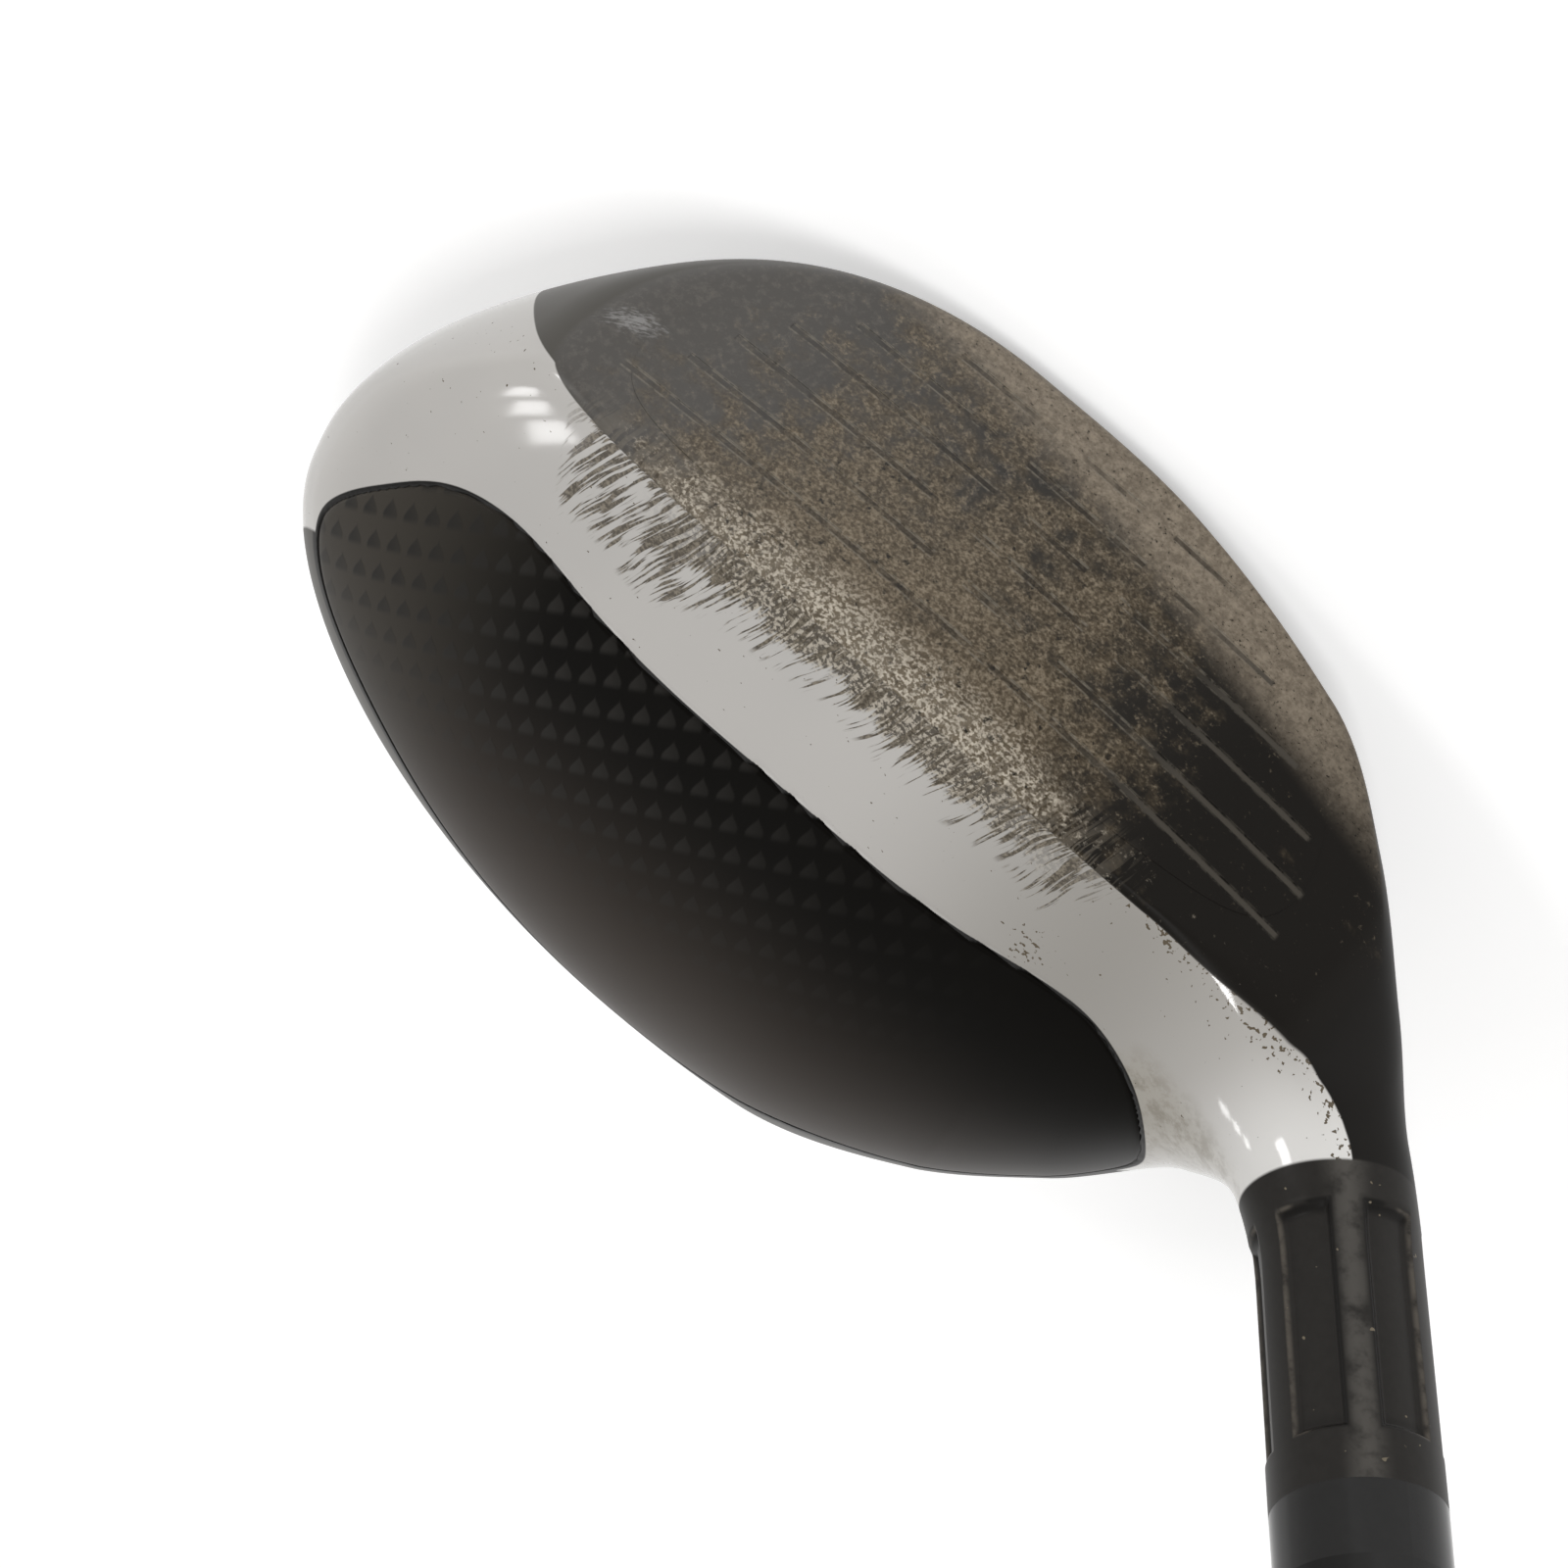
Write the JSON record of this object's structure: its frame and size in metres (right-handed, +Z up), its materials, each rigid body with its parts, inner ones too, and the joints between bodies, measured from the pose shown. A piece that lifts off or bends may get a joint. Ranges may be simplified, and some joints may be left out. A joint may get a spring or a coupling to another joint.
{
  "type": "fairway wood",
  "caption": "Left-handed fairway wood with a hollow steel head, glued carbon crown, slotted sole, fluted bonded hosel, graphite shaft and rubber grip.",
  "frame": {"origin": "point on the shaft axis where the middle of the hands holds the grip", "axes": "+Z up with the club soled at its lie angle, +X from the heel of the head to its toe, -Y the way the face looks; the ground is the lowest point of the sole"},
  "size_m": [0.6895, 0.0838, 0.9241],
  "materials": {
    "cast_head": "gloss white round the crown, bare and matte dark grey elsewhere",
    "face_steel": "black coating, scuffed",
    "carbon_crown": "gloss black over woven carbon",
    "epoxy": "cured",
    "slot_polymer": "matte",
    "ferrule_plastic": "gloss",
    "graphite_shaft": "gloss",
    "weight_brass": "turned",
    "tape": "matte",
    "grip_rubber": "matte, patterned",
    "cap_rubber": "matte"
  },
  "bodies": {
    "root": {"head_body": "cast_head", "face_plate": "face_steel", "crown_panel": "carbon_crown", "crown_bond": "epoxy", "slot_insert": "slot_polymer", "ferrule": "ferrule_plastic", "shaft": "graphite_shaft", "shaft_bond": "epoxy", "tip_weight": "weight_brass", "grip_tape": "tape", "grip": "grip_rubber", "grip_cap": "cap_rubber"}
  },
  "joints": []
}
